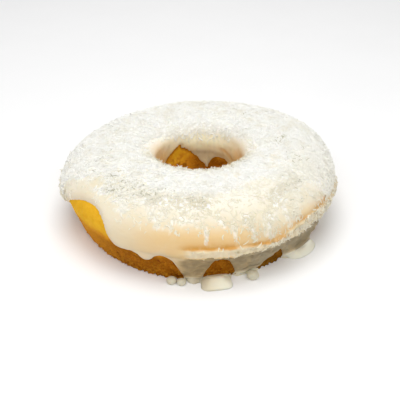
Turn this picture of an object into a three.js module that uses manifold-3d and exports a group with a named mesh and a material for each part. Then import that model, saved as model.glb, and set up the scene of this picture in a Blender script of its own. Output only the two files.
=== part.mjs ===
// A glazed ring cake with coconut: the sponge ring, the coat of icing that has run down over it into
// drips and puddles at its foot, and three loose drops of icing beside it.
// Millimetres and degrees. +Z is up, the cake stands on Z = 0, and -Y is its front.
// Angles are taken round the ring: 0 is its right side, -90 the front, 90 the back, 180 the left.

import * as THREE from 'three';
import { mergeVertices } from 'three/addons/utils/BufferGeometryUtils.js';
import Module from 'manifold-3d';

const wasm = await Module();
wasm.setup();

// ---- Driving dimensions of the sponge ----
const BASE_RADIUS = 87.5;
const LIP_RADIUS = 96.8; // where the sponge rose over the edge of its tin
const LIP_HEIGHT = 29.5;
const CREST_RADIUS = 65;
const CREST_HEIGHT = 48.3;
const HOLE_RADIUS = 33.8;
const HOLE_RIM_HEIGHT = 37;
const HOLE_FOOT_FLARE = 1.5; // the hole is this much wider at its foot, on each side
const HOLE_SHIFT = 4.6; // the hole sits this far behind the middle of the ring
const WALL_TAPER = 0.8; // how early the wall leans out where the lip doesn't overhang
const RECESS = { lean: 0.2, from: 0.54, to: 0.78 }; // the wall under an overhanging lip
const OUTER_FULLNESS = 0.9; // 1 is an ellipse, less is a squarer shoulder
const INNER_FULLNESS = 0.36; // the same for the rim of the hole, at its front
const BACK_FULLNESS = 0.54; // and at its back

// ---- Driving dimensions of the icing ----
const COAT = 2.3; // thickness on the dome and the walls
const FOOT_COAT = 2.8; // thickness where it has gathered on the floor
const FOOT_HEIGHT = 9; // how far up the wall it is thicker
const CORNER_FILL = { share: 0.6, spread: 4 }; // extra thickness in the corner at the foot
const EDGE_SLOPE = 0.65; // how fast the coat thickens inwards from its edge
const SINK = 4; // how deep the coat's skin dips under the sponge where the sponge is bare
const SKIRT = 17; // how far the puddles may reach out from the foot of the wall
const EDGE_HEIGHT = 19; // where the coat stops between drips, along the wall
const HOLE_EDGE_HEIGHT = 8;
const BLEND = 5; // how softly drips join the coat
const EDGE_BLEND = 2; // how softly bare patches and puddles meet it
const GAP = 0.45; // clearance between two solids that touch

// ---- Unevenness: each lump is centred at an angle, spreads to both sides, and adds millimetres ----
const BASE_LUMPS = [
  { at: -102, spread: 26, by: 2.3 },
  { at: -52, spread: 14, by: -0.8 },
];
const RADIUS_LUMPS = [
  { at: -152, spread: 38, by: 2.0 },
  { at: -32, spread: 22, by: -0.7 },
  { at: 35, spread: 25, by: 0.8 },
  { at: 108, spread: 32, by: -2.3 },
];
const HEIGHT_LUMPS = [
  { at: 36, spread: 22, by: 1.8 },
  { at: 100, spread: 34, by: -0.8 },
  { at: 152, spread: 42, by: -3.9 },
  { at: -100, spread: 30, by: 0.5 },
];
const LIP_LUMPS = [
  { at: -42, spread: 13, by: 4.5 },
  { at: -62, spread: 9, by: -2.0 },
  { at: 30, spread: 25, by: 2.5 },
  { at: 165, spread: 30, by: -1.5 },
];
// How much rounder the rim of the hole is than between its front and its back.
const RIM_LUMPS = [
  { at: 170, spread: 36, by: 0.32 },
  { at: 12, spread: 36, by: 0.3 },
];
// How far the lip hangs over the wall under it, from 0 to 1.
const OVERHANG_LUMPS = [
  { at: -62, spread: 34, by: 0.95 },
  { at: 0, spread: 38, by: 0.55 },
  { at: 85, spread: 40, by: 0.6 },
];

// ---- Where the icing goes. Widths and tips are measured along the wall from its foot ----
const EDGE_LUMPS = [
  { at: -118, spread: 5, by: 2 },
  { at: -104.5, spread: 5, by: 3.5 },
  { at: -81, spread: 5, by: -1.5 },
  { at: -58, spread: 15, by: -14 },
  { at: -10, spread: 22, by: -11 },
  { at: 55, spread: 9, by: 3 },
  { at: 133, spread: 8, by: 3.5 },
];
// A drip widens upwards by its flare, on each side. A tip below 0 has run out on to the floor.
const DRIPS = [
  { at: -112, halfWidth: 4.2, tip: 15, flare: 0.4 },
  { at: -92, halfWidth: 6, tip: -5, flare: 0.35 },
  { at: -72, halfWidth: 4.6, tip: -1, flare: 0.25 },
  { at: -65.5, halfWidth: 8, tip: 1.5, flare: 0.3 },
  { at: -45, halfWidth: 6, tip: -3, flare: 0.3 },
  { at: -36, halfWidth: 11, tip: -3, flare: 0.2 },
  { at: -12, halfWidth: 7, tip: 1, flare: 0.4 },
  { at: 12, halfWidth: 6, tip: 7, flare: 0.3 },
  { at: 31, halfWidth: 5.5, tip: 1, flare: 0.3 },
  { at: 72, halfWidth: 8, tip: 10, flare: 0.4 },
  { at: 94, halfWidth: 5.5, tip: -2, flare: 0.35 },
  { at: 113, halfWidth: 7, tip: 8, flare: 0.3 },
  { at: 151, halfWidth: 5, tip: 3, flare: 0.3 },
  { at: 172, halfWidth: 8, tip: 12, flare: 0.3 },
];
// Puddles on the floor: out is the middle of the puddle, measured out from the foot of the wall,
// and its half height is measured the same way.
const PUDDLES = [
  { at: -83.2, halfWidth: 10, out: 5.2, halfHeight: 8.2, squareness: 4 },
  { at: -38.3, halfWidth: 14.5, out: 1, halfHeight: 9.5, squareness: 2.4 },
  { at: 95, halfWidth: 9, out: 1, halfHeight: 6, squareness: 2 },
];
// Bare sponge that the coat missed: up is its middle, measured along the wall from the foot.
const OUTER_BARE = [
  { at: -139, up: 26, halfWidth: 20.5, halfHeight: 18.3, squareness: 2.3 },
  { at: -146, up: 22, halfWidth: 22, halfHeight: 16, squareness: 2 },
  { at: -150, up: 8, halfWidth: 36, halfHeight: 14, squareness: 2 },
  { at: -82, up: 2, halfWidth: 9.5, halfHeight: 16, squareness: 1.6 },
];
const HOLE_BARE = [
  { at: 118, up: 8, halfWidth: 24.5, halfHeight: 25.5, squareness: 1.1 },
  { at: 63, up: 8, halfWidth: 8.8, halfHeight: 14.5, squareness: 2.2 },
  { at: -65, up: 6, halfWidth: 9, halfHeight: 14, squareness: 2 },
  { at: -140, up: 5, halfWidth: 10, halfHeight: 9, squareness: 2 },
];

// ---- Loose drops on the floor: angle, distance from the ring's axis, radius and height ----
const DROPS = [
  { at: -101.2, distance: 94.8, radius: 3.4, height: 4.4 },
  { at: -97.15, distance: 95.3, radius: 2.9, height: 4.0 },
  { at: -68, distance: 94.6, radius: 4.2, height: 5.2 },
];

// ---- How finely each surface is divided ----
const SPONGE_COLUMNS = 64;
const COAT_COLUMNS = 94;
const FRONT_CROWDING = 0.42; // how much closer the coat's columns stand at the front
const OUTLINE_STEPS = 24; // points on each of the four stretches of the outline

const degrees = THREE.MathUtils.degToRad;
const mix = THREE.MathUtils.lerp;
const smoothstep = THREE.MathUtils.smoothstep;

// The turn from one angle to another, from -180 to 180.
function turnFrom(centre, angle) {
  return THREE.MathUtils.euclideanModulo(angle - centre + 180, 360) - 180;
}

function sumOfLumps(lumps, angle) {
  let sum = 0;
  for (const lump of lumps) {
    sum += lump.by * Math.exp(-((turnFrom(lump.at, angle) / lump.spread) ** 2));
  }
  return sum;
}

function softMax(a, b, softness) {
  const overlap = Math.max(softness - Math.abs(a - b), 0) / softness;
  return Math.max(a, b) + overlap * overlap * softness / 4;
}

function softMin(a, b, softness) {
  return -softMax(-a, -b, softness);
}

// The sponge's outline at one angle: points of radius and height, from the foot of the outer wall,
// over the crest, to the foot of the hole's wall.
function spongeOutline(angle) {
  const baseRadius = BASE_RADIUS + sumOfLumps(BASE_LUMPS, angle);
  const lipRadius = LIP_RADIUS + sumOfLumps(RADIUS_LUMPS, angle);
  const lipHeight = LIP_HEIGHT + sumOfLumps(LIP_LUMPS, angle);
  const crestHeight = CREST_HEIGHT + sumOfLumps(HEIGHT_LUMPS, angle);
  const overhang = Math.min(sumOfLumps(OVERHANG_LUMPS, angle), 1);
  const backness = (1 + Math.sin(degrees(angle))) / 2;
  const rimFullness = mix(INNER_FULLNESS, BACK_FULLNESS, backness) + sumOfLumps(RIM_LUMPS, angle);
  const points = [];
  for (let i = 0; i < OUTLINE_STEPS; i++) {
    const k = i / OUTLINE_STEPS;
    const taper = k ** WALL_TAPER;
    const flare = mix(smoothstep(k, RECESS.from, RECESS.to), k, RECESS.lean);
    const spread = mix(taper, flare, overhang);
    points.push(new THREE.Vector2(mix(baseRadius, lipRadius, spread), lipHeight * k));
  }
  for (let i = 0; i < OUTLINE_STEPS; i++) {
    const t = Math.PI / 2 * i / OUTLINE_STEPS;
    const radius = mix(CREST_RADIUS, lipRadius, Math.cos(t) ** OUTER_FULLNESS);
    const height = mix(lipHeight, crestHeight, Math.sin(t) ** OUTER_FULLNESS);
    points.push(new THREE.Vector2(radius, height));
  }
  for (let i = 0; i < OUTLINE_STEPS; i++) {
    const t = Math.PI / 2 * i / OUTLINE_STEPS;
    const radius = mix(CREST_RADIUS, HOLE_RADIUS, Math.sin(t) ** rimFullness);
    const height = mix(HOLE_RIM_HEIGHT, crestHeight, Math.cos(t) ** rimFullness);
    points.push(new THREE.Vector2(radius, height));
  }
  for (let i = 0; i <= OUTLINE_STEPS; i++) {
    const k = i / OUTLINE_STEPS;
    points.push(new THREE.Vector2(HOLE_RADIUS + HOLE_FOOT_FLARE * k, HOLE_RIM_HEIGHT * (1 - k)));
  }
  return points;
}

// An outline with the distance along it to each of its points.
function measured(points) {
  const lengths = [0];
  for (let i = 1; i < points.length; i++) {
    lengths.push(lengths[i - 1] + points[i].distanceTo(points[i - 1]));
  }
  return { points, lengths, total: lengths[lengths.length - 1] };
}

// The point this far along an outline. Less than 0 is out on the floor, past the foot of the wall.
function pointAlong(outline, along) {
  if (along <= 0) return new THREE.Vector2(outline.points[0].x - along, 0);
  const { points, lengths, total } = outline;
  if (along >= total) return points[points.length - 1].clone();
  let i = 1;
  while (lengths[i] < along) i++;
  const part = (along - lengths[i - 1]) / (lengths[i] - lengths[i - 1]);
  return points[i - 1].clone().lerp(points[i], part);
}

// The direction in which icing is laid on at a point of the outline: up on the floor, outwards on
// the wall, up on the crest, and towards the axis in the hole.
const CORE_HEIGHT = 20;
const FILLET = 8; // half the stretch over which the floor's direction turns into the wall's
function coatDirection(point, along) {
  if (along < FILLET) {
    const turn = Math.PI / 2 * Math.min(1, (FILLET - along) / (2 * FILLET));
    return new THREE.Vector2(Math.cos(turn), Math.sin(turn));
  }
  const core = new THREE.Vector2(CREST_RADIUS, Math.min(point.y, CORE_HEIGHT));
  return point.clone().sub(core).normalize();
}

// Distance inside an oval, positive within it, with x and y measured from its middle.
function insideOval(x, y, { halfWidth, halfHeight, squareness }) {
  const sum = (Math.abs(x) / halfWidth) ** squareness + (Math.abs(y) / halfHeight) ** squareness;
  return (1 - sum ** (1 / squareness)) * Math.min(halfWidth, halfHeight);
}

// How far inside the icing's edge a place on the outer side is, in millimetres.
const WALL_RADIUS = 92; // arc lengths round the wall are measured at this radius
function insideOuterEdge(angle, along) {
  const across = (feature) => degrees(turnFrom(feature.at, angle)) * WALL_RADIUS;
  let inside = along - EDGE_HEIGHT - sumOfLumps(EDGE_LUMPS, angle);
  for (const drip of DRIPS) {
    const up = along - drip.tip - drip.halfWidth;
    const halfWidth = drip.halfWidth + drip.flare * Math.max(0, up);
    inside = softMax(inside, halfWidth - Math.hypot(across(drip), Math.min(0, up)), BLEND);
  }
  for (const bare of OUTER_BARE) {
    inside = softMin(inside, -insideOval(across(bare), along - bare.up, bare), EDGE_BLEND);
  }
  for (const puddle of PUDDLES) {
    inside = softMax(inside, insideOval(across(puddle), along + puddle.out, puddle), EDGE_BLEND);
  }
  return inside;
}

// The same on the hole's side, where up is measured along the hole's wall from its foot.
function insideHoleEdge(angle, up) {
  let inside = up - HOLE_EDGE_HEIGHT;
  for (const bare of HOLE_BARE) {
    const across = degrees(turnFrom(bare.at, angle)) * HOLE_RADIUS;
    inside = softMin(inside, -insideOval(across, up - bare.up, bare), EDGE_BLEND);
  }
  return inside;
}

// The icing's thickness at a place: thinner towards its edge, and less than 0 where it is bare.
function coatThickness(angle, along, total) {
  const inside = Math.min(insideOuterEdge(angle, along), insideHoleEdge(angle, total - along));
  const fill = 1 + CORNER_FILL.share * Math.exp(-((along / CORNER_FILL.spread) ** 2));
  const full = mix(FOOT_COAT, COAT, smoothstep(along, 0, FOOT_HEIGHT)) * fill;
  return THREE.MathUtils.clamp(inside * EDGE_SLOPE, -SINK, full);
}

// A point of the cross-section carried round to its angle. The hole's side is shifted back.
function inSpace(angle, point) {
  const shift = HOLE_SHIFT * smoothstep(CREST_RADIUS - point.x, 0, CREST_RADIUS - HOLE_RADIUS);
  const turn = degrees(angle);
  return [point.x * Math.cos(turn), point.x * Math.sin(turn) + shift, point.y];
}

// A closed ring from one closed cross-section for each angle, each with as many points.
function ringGeometry(angles, sectionAt) {
  const positions = [];
  const index = [];
  const sections = angles.map((angle) => sectionAt(angle));
  const size = sections[0].length;
  sections.forEach((section, column) => {
    for (const point of section) positions.push(...inSpace(angles[column], point));
  });
  for (let column = 0; column < angles.length; column++) {
    const next = (column + 1) % angles.length;
    for (let row = 0; row < size; row++) {
      const above = (row + 1) % size;
      const a = column * size + row;
      const b = next * size + row;
      const c = next * size + above;
      const d = column * size + above;
      index.push(a, b, c, a, c, d);
    }
  }
  const geometry = new THREE.BufferGeometry();
  geometry.setAttribute('position', new THREE.Float32BufferAttribute(positions, 3));
  geometry.setIndex(index);
  return geometry;
}

function toSolid(geometry) {
  const positionsOnly = geometry.clone();
  positionsOnly.deleteAttribute('normal');
  positionsOnly.deleteAttribute('uv');
  const merged = mergeVertices(positionsOnly);
  return new wasm.Manifold(new wasm.Mesh({
    numProp: 3,
    vertProperties: new Float32Array(merged.attributes.position.array),
    triVerts: new Uint32Array(merged.index.array),
  }));
}

function toGeometry(solid) {
  const mesh = solid.getMesh();
  const geometry = new THREE.BufferGeometry();
  geometry.setAttribute('position', new THREE.BufferAttribute(mesh.vertProperties, 3));
  geometry.setIndex(new THREE.BufferAttribute(mesh.triVerts, 1));
  geometry.computeVertexNormals();
  return geometry;
}

// Spreads rows over the dome so that they crowd towards the tight bend at the hole's rim.
function towardsRim(part) {
  return 1 - (1 - part) ** 1.5;
}

// ---- The sponge ring ----
const SPONGE_ROWS = { wall: 6, dome: 8, hole: 2 };

function spongeSection(angle, growth) {
  const outline = measured(spongeOutline(angle));
  const wallEnd = LIP_HEIGHT + 2;
  const holeStart = outline.total - HOLE_RIM_HEIGHT;
  const places = [];
  for (let i = 0; i < SPONGE_ROWS.wall; i++) places.push(wallEnd * i / SPONGE_ROWS.wall);
  for (let i = 0; i < SPONGE_ROWS.dome; i++) {
    places.push(mix(wallEnd, holeStart, towardsRim(i / SPONGE_ROWS.dome)));
  }
  for (let i = 0; i <= SPONGE_ROWS.hole; i++) {
    places.push(mix(holeStart, outline.total, i / SPONGE_ROWS.hole));
  }
  const section = places.map((along) => {
    const point = pointAlong(outline, along);
    const outwards = coatDirection(point, Math.max(along, FILLET));
    return point.addScaledVector(outwards, growth);
  });
  // A grown sponge also reaches down through the floor, so that it clears all that it cuts.
  if (growth > 0) {
    section.unshift(section[0].clone().setY(-SKIRT));
    section.push(section[section.length - 1].clone().setY(-SKIRT));
  }
  return section;
}

function spongeGeometry(growth = 0) {
  const angles = [];
  for (let i = 0; i < SPONGE_COLUMNS; i++) angles.push(360 * i / SPONGE_COLUMNS);
  return ringGeometry(angles, (angle) => spongeSection(angle, growth));
}

// ---- The icing: a coat whose skin dips under the sponge and the floor where it ends ----
const COAT_ROWS = { floor: 5, wall: 10, dome: 10, hole: 6, core: 4 };
const CORE_DEPTH = 8; // how deep the uncut coat reaches into the sponge

function coatSection(angle) {
  const outline = measured(spongeOutline(angle));
  const wallEnd = LIP_HEIGHT + 6;
  const holeStart = outline.total - HOLE_RIM_HEIGHT;
  const places = [];
  for (let i = 0; i < COAT_ROWS.floor; i++) places.push(mix(-SKIRT, 0, i / COAT_ROWS.floor));
  for (let i = 0; i < COAT_ROWS.wall; i++) places.push(mix(0, wallEnd, i / COAT_ROWS.wall));
  for (let i = 0; i < COAT_ROWS.dome; i++) {
    places.push(mix(wallEnd, holeStart, towardsRim(i / COAT_ROWS.dome)));
  }
  for (let i = 0; i <= COAT_ROWS.hole; i++) {
    places.push(mix(holeStart, outline.total, i / COAT_ROWS.hole));
  }
  const laidOn = (along, thickness) => {
    const point = pointAlong(outline, along);
    return point.addScaledVector(coatDirection(point, along), thickness);
  };
  const section = places.map((along) => laidOn(along, coatThickness(angle, along, outline.total)));
  section.push(laidOn(outline.total, -CORE_DEPTH));
  for (let i = COAT_ROWS.core; i > 0; i--) {
    section.push(laidOn(mix(wallEnd, holeStart, i / COAT_ROWS.core), -CORE_DEPTH));
  }
  section.push(laidOn(FILLET, -CORE_DEPTH));
  section.push(new THREE.Vector2(BASE_RADIUS - CORE_DEPTH, -CORE_DEPTH));
  section.push(new THREE.Vector2(BASE_RADIUS + SKIRT, -CORE_DEPTH));
  return section;
}

function coatAngles() {
  const angles = [];
  for (let i = 0; i < COAT_COLUMNS; i++) {
    const even = 2 * Math.PI * i / COAT_COLUMNS;
    const crowded = even - FRONT_CROWDING * Math.sin(even);
    angles.push(-90 + THREE.MathUtils.radToDeg(crowded));
  }
  return angles;
}

function icingGeometry() {
  const coat = toSolid(ringGeometry(coatAngles(), coatSection));
  const width = 3 * LIP_RADIUS;
  const depth = 3 * CORE_DEPTH;
  const underFloor = new THREE.BoxGeometry(width, width, depth);
  underFloor.translate(0, 0, -depth / 2);
  const icing = coat.subtract(toSolid(spongeGeometry(GAP))).subtract(toSolid(underFloor));
  return toGeometry(icing);
}

// ---- A drop of icing: a flattened bead on a small flat foot ----
const DROP_FOOT_ANGLE = 0.7; // radians below the bead's widest part at which its foot is cut off
const DROP_STEPS = 5;
function dropGeometry({ radius, height }) {
  const profile = [new THREE.Vector2(0, 0)];
  const sunk = Math.sin(DROP_FOOT_ANGLE);
  for (let i = 0; i < DROP_STEPS; i++) {
    const t = mix(-DROP_FOOT_ANGLE, Math.PI / 2, i / DROP_STEPS);
    profile.push(new THREE.Vector2(radius * Math.cos(t), height * (Math.sin(t) + sunk) / (1 + sunk)));
  }
  profile.push(new THREE.Vector2(0, height));
  const geometry = new THREE.LatheGeometry(profile, 12);
  geometry.rotateX(Math.PI / 2);
  return geometry;
}

// ---- Materials ----
const spongeMaterial = new THREE.MeshStandardMaterial({ color: 0xd18f28, roughness: 0.9 });
const icingMaterial = new THREE.MeshStandardMaterial({ color: 0xf3ead3, roughness: 0.35 });

// ---- The cake ----
function namedMesh(name, geometry, material) {
  const mesh = new THREE.Mesh(geometry, material);
  mesh.name = name;
  return mesh;
}

const cake = new THREE.Group();
cake.add(namedMesh('cake', spongeGeometry(), spongeMaterial));
cake.add(namedMesh('icing', icingGeometry(), icingMaterial));
DROPS.forEach((drop, i) => {
  const mesh = namedMesh(`icing_drop_${i + 1}`, dropGeometry(drop), icingMaterial);
  const turn = degrees(drop.at);
  mesh.position.set(drop.distance * Math.cos(turn), drop.distance * Math.sin(turn), 0);
  cake.add(mesh);
});

// The origin is under the middle of the whole.
const middle = new THREE.Box3().setFromObject(cake).getCenter(new THREE.Vector3());
cake.position.set(-middle.x, -middle.y, 0);

export default cake;
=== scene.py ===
"""The looks of a glazed ring cake with coconut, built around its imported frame.

Lengths are millimetres, turned into metres where a mesh is made. Angles are degrees round the
ring: 0 is its right side, -90 the front, 90 the back and 180 the left. "Along" is the distance
along the ring's cross-section, from the foot of the outer wall over the crest to the foot of the
hole's wall, and below 0 it is out on the floor.
"""

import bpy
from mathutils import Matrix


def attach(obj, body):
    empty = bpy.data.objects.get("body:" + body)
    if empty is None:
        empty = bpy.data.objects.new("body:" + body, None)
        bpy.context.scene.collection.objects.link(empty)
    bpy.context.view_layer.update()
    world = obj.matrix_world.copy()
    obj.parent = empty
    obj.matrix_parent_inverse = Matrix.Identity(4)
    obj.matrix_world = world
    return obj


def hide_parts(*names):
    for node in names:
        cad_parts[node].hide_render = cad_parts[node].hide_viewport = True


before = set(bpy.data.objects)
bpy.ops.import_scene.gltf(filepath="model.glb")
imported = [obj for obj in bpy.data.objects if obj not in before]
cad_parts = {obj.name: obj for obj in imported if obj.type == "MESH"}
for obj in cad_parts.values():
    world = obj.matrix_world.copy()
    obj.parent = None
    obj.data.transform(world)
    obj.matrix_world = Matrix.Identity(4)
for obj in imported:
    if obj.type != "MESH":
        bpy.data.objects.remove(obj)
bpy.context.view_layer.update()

import copy
import math

import bmesh
import bpy
import numpy as np
from mathutils import Vector, noise

MM = 0.001
TAU = 2 * math.pi
dice = np.random.default_rng(7)

# ---- The sponge ring ----
# The lip is its widest place and the crest its highest. The hole's middle is shifted back.
BASE_RADIUS = 87.5
LIP_RADIUS = 96.8
LIP_HEIGHT = 29.5
CREST_RADIUS = 65.0
CREST_HEIGHT = 48.3
HOLE_RADIUS = 33.8
HOLE_RIM_HEIGHT = 37.0
HOLE_FOOT_FLARE = 1.5
HOLE_SHIFT = 4.6
# How the wall leans out: evenly, or under an overhanging lip, where it steps out higher up.
WALL_TAPER = 0.8
RECESS_LEAN, RECESS_FROM, RECESS_TO = 0.2, 0.54, 0.78
# How its roundings are bent: 1 for an even curve, less for a squarer one.
OUTER_FULLNESS = 0.9
FRONT_FULLNESS, BACK_FULLNESS = 0.36, 0.54

# ---- The icing ----
# The coat's thickness, its thickness at the foot of the wall, and how far up that reaches.
COAT = 1.9
FOOT_COAT = 2.5
FOOT_HEIGHT = 9.0
# How much thicker it is on the floor, and in the corner between floor and wall.
POOL_SWELL = 0.7
CORNER_FILL, CORNER_SPREAD = 0.9, 5.0
# How far in from its edge it is rounded, and how far it sinks into the sponge past its edge.
ROUNDING, FLOOR_ROUNDING = 3.0, 8.0
SINK, FOOT_SINK = 1.2, 3.2
# How far out on the floor it may lie, and how far up each wall its edge is.
SKIRT = 17.0
EDGE_HEIGHT = 19.0
HOLE_EDGE_HEIGHT = 8.0
# How softly drips, puddles and bare places join the edge, and how much the edge wanders.
BLEND = 5.0
EDGE_BLEND, BARE_BLEND = 2.0, 9.0
EDGE_WANDER, HOLE_WANDER = 0.25, 1.8
# The depth of its hidden side, the height of the middle that it is laid on from, the bend at the
# foot of the wall, and the radius at which widths on the wall are measured.
SHELL = 0.5
CORE_HEIGHT = 20.0
FILLET = 8.0
WALL_RADIUS = 92.0

# Each lump is (angle, spread, millimetres or share added).
BASE_LUMPS = [(-102, 26, 2.3), (-52, 14, -0.8)]
RADIUS_LUMPS = [(-152, 38, 2.0), (-32, 22, -0.7), (35, 25, 0.8), (108, 32, -2.3)]
HEIGHT_LUMPS = [(36, 22, 1.8), (100, 34, -0.8), (152, 42, -3.9), (-100, 30, 0.5)]
RIM_LUMPS = [(170, 36, 0.32), (12, 36, 0.3)]
FULLEST_RIM = 0.32
LIP_LUMPS = [(-42, 13, 4.5), (-62, 9, -2.0), (30, 25, 2.5), (165, 30, -1.5)]
OVERHANG_LUMPS = [(-62, 34, 0.95), (0, 38, 0.55), (85, 40, 0.6)]
EDGE_LUMPS = [
    (-118, 5, 2), (-104.5, 5, 3.5), (-81, 5, -1.5), (-60, 14, -12), (-10, 22, -11), (55, 9, 3),
    (133, 8, 3.5),
]

# Each drip is (angle, half width, tip, flare).
DRIPS = [
    (-112, 4.2, 15, 0.4), (-92, 6, -5, 0.5), (-72, 5.4, -1, 0.3), (-65.5, 8, 1.5, 0.3),
    (-45, 6, -3, 0.3), (-36, 11, -3, 0.2), (-26.5, 9, 4, 0.3), (-12, 8.5, 1, 0.4),
    (12, 6, 7, 0.3), (31, 5.5, 1, 0.3), (72, 8, 10, 0.4), (94, 5.5, -2, 0.35),
    (113, 7, 8, 0.3), (151, 5, 3, 0.3), (172, 8, 12, 0.3),
]
# Each oval is (angle, middle along the wall, half width, half height, squareness).
PUDDLES = [(-83.2, -5.2, 10, 8.2, 4), (-38.3, -1, 14.5, 9.5, 2.4), (95, -1, 9, 6, 2)]
OUTER_BARE = [
    (-139.7, 26, 18.8, 18.3, 2.0), (-146, 22, 22, 16, 2), (-150, 8, 36, 14, 2),
    (-81.8, 0, 9.8, 13.2, 1.4),
]
HOLE_BARE = [
    (118, 8, 24.0, 25.0, 1.2), (62, 8, 10.4, 14.0, 2.2), (-65, 6, 9, 14, 2), (-140, 5, 10, 9, 2),
]
# Each drop is (angle, distance from the axis, radius, height).
DROPS = [(-101.2, 94.8, 3.4, 4.4), (-97.15, 95.3, 2.9, 4.0), (-68, 94.6, 4.2, 5.2)]
# Angles of places that several features share.
FRONT_DRIP_AT = -92
RIGHT_PUDDLE_AT = -38
TUCK_AT = -104
HOLE_BACK_AT = 85


# ---- Small tools ----
def mix(a, b, share):
    return a + (b - a) * share


def smoothstep(value, low, high):
    part = np.clip((value - low) / (high - low), 0, 1)
    return part * part * (3 - 2 * part)


def hole_shift(radius):
    return HOLE_SHIFT * smoothstep(CREST_RADIUS - radius, 0, CREST_RADIUS - HOLE_RADIUS)


def ring_axis():
    """The ring's axis in the frame, found from the hole's round foot."""
    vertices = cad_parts["cake"].data.vertices
    foot = np.array([v.co[:2] for v in vertices if v.co.z < 0.1 * MM]) / MM
    middle = (foot.min(0) + foot.max(0)) / 2
    foot = foot[np.linalg.norm(foot - middle, axis=1) < CREST_RADIUS]
    middle = (foot.min(0) + foot.max(0)) / 2
    return middle - (0, hole_shift(HOLE_RADIUS + HOLE_FOOT_FLARE))


AXIS_X, AXIS_Y = ring_axis()


def turn_from(centre, angle):
    """The turn from one angle to another, from -180 to 180."""
    return (angle - centre + 180) % 360 - 180


def hump(value, centre, spread):
    return np.exp(-((value - centre) / spread) ** 2)


def near(at, angle, spread):
    """1 at one angle, falling off to both sides."""
    return hump(turn_from(at, angle), 0, spread)


def stretch_near(at, angle, spread):
    """1 on a stretch round one angle, falling off fast past it."""
    return np.exp(-(turn_from(at, angle) / spread) ** 4)


def across_from(at, angle, radius):
    """How far round the ring a place lies from one angle, in millimetres at this radius."""
    return np.radians(turn_from(at, angle)) * radius


def sum_of_lumps(lumps, angle):
    return sum(by * hump(turn_from(at, angle), 0, spread) for at, spread, by in lumps)


def sideness(angle):
    """1 at the left and the right, where the hole's rim is fullest."""
    return sum_of_lumps(RIM_LUMPS, angle) / FULLEST_RIM


def soft_max(a, b, softness):
    overlap = np.maximum(softness - np.abs(a - b), 0) / softness
    return np.maximum(a, b) + overlap * overlap * softness / 4


def soft_min(a, b, softness):
    return -soft_max(-a, -b, softness)


def from_axis(points):
    return np.hypot(points[..., 0] - AXIS_X, points[..., 1] - AXIS_Y)


def rough(points, size, seed, octaves=1):
    """Noise of about -1 to 1, with features of this size, at an array of points."""
    shift = Vector((13.1 * seed, 7.7 * seed, 3.3 * seed))
    flat = (points / size).reshape(-1, 3).tolist()
    if octaves == 1:
        values = [noise.noise(Vector(p) + shift) for p in flat]
    else:
        values = [noise.fractal(Vector(p) + shift, 1.0, 2.0, octaves) for p in flat]
    return np.array(values).reshape(points.shape[:-1])


# ---- The ring's cross-section ----
OUTLINE_STEPS = 40


class Outline:
    """The sponge's outline at each of some angles: radius, height and length, one row for each."""

    def __init__(self, angles):
        self.angle = angle = angles[:, None]
        base_radius = BASE_RADIUS + sum_of_lumps(BASE_LUMPS, angle)
        lip_radius = LIP_RADIUS + sum_of_lumps(RADIUS_LUMPS, angle)
        lip_height = LIP_HEIGHT + sum_of_lumps(LIP_LUMPS, angle)
        crest_height = CREST_HEIGHT + sum_of_lumps(HEIGHT_LUMPS, angle)
        overhang = np.minimum(sum_of_lumps(OVERHANG_LUMPS, angle), 1)
        backness = (1 + np.sin(np.radians(angle))) / 2
        fullness = mix(FRONT_FULLNESS, BACK_FULLNESS, backness) + sum_of_lumps(RIM_LUMPS, angle)
        k = np.arange(OUTLINE_STEPS)[None, :] / OUTLINE_STEPS
        quarter = k * math.pi / 2
        flare = mix(smoothstep(k, RECESS_FROM, RECESS_TO), k, RECESS_LEAN)
        lean = mix(k ** WALL_TAPER, flare, overhang)
        down = np.linspace(0, 1, OUTLINE_STEPS + 1)[None, :] + 0 * angle
        self.radius = np.hstack([
            mix(base_radius, lip_radius, lean),
            mix(CREST_RADIUS, lip_radius, np.cos(quarter) ** OUTER_FULLNESS),
            mix(CREST_RADIUS, HOLE_RADIUS, np.sin(quarter) ** fullness),
            HOLE_RADIUS + HOLE_FOOT_FLARE * down,
        ])
        self.height = np.hstack([
            lip_height * k,
            mix(lip_height, crest_height, np.sin(quarter) ** OUTER_FULLNESS),
            mix(HOLE_RIM_HEIGHT, crest_height, np.cos(quarter) ** fullness),
            HOLE_RIM_HEIGHT * (1 - down),
        ])
        steps = np.hypot(np.diff(self.radius, axis=1), np.diff(self.height, axis=1))
        self.length = np.hstack([0 * angle, np.cumsum(steps, axis=1)])
        self.total = self.length[:, -1:]
        self.lip = self.length[:, OUTLINE_STEPS:OUTLINE_STEPS + 1]

    def at(self, along):
        """Radius and height at each distance along each outline."""
        rows = zip(along, self.length, self.radius, self.height)
        found = [(np.interp(a, l, r), np.interp(a, l, h)) for a, l, r, h in rows]
        radius, height = (np.array(part) for part in zip(*found))
        return radius - np.minimum(along, 0), height


def coat_direction(radius, height, along):
    """The way in which icing is laid on: up on the floor, out on the wall, up on the crest."""
    turn = np.clip((FILLET - along) / (2 * FILLET), 0, 1) * math.pi / 2
    out, up = radius - CREST_RADIUS, height - np.minimum(height, CORE_HEIGHT)
    size = np.maximum(np.hypot(out, up), 1e-6)
    low = along < FILLET
    return np.where(low, np.cos(turn), out / size), np.where(low, np.sin(turn), up / size)


def in_space(angle, radius, height):
    """Points of the cross-section carried round to their angles. The hole is shifted back."""
    turn = np.radians(angle)
    x = AXIS_X + radius * np.cos(turn)
    y = AXIS_Y + radius * np.sin(turn) + hole_shift(radius)
    return np.stack([x, y, height], axis=-1)


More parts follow.
